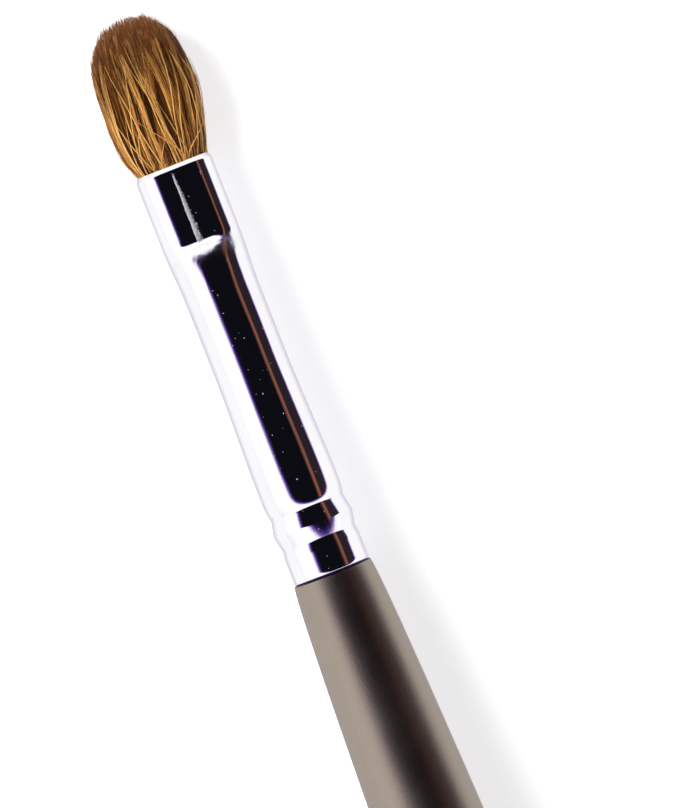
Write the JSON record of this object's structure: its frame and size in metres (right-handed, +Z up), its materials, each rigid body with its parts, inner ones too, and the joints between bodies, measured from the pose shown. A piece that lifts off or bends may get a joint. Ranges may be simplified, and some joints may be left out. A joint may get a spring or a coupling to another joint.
{
  "type": "lip brush",
  "caption": "Lip brush: a plump oval tuft of brown hair in a crimped, plated ferrule pressed flat at its mouth, on a slim lacquered wooden handle.",
  "frame": {"origin": "middle of the outline of the lying brush, on the surface that it rests on", "axes": "+X along the brush towards the handle's tail, +Y across the flat side of the hair, +Z up from the surface"},
  "size_m": [0.1364, 0.0082, 0.0084],
  "materials": {
    "lacquered_wood": "matte taupe lacquer over turned wood",
    "plated_metal": "mirror plating on drawn brass tube, lightly scratched",
    "hair": "golden brown animal hair with darker tips",
    "glue": "clear amber epoxy, hidden inside the ferrule",
    "thread": "plain cotton thread, hidden inside the ferrule"
  },
  "bodies": {
    "root": {"handle": "lacquered_wood", "ferrule": "plated_metal", "hair_tuft": "hair", "root_glue": "glue", "knot_thread": "thread"}
  },
  "joints": []
}
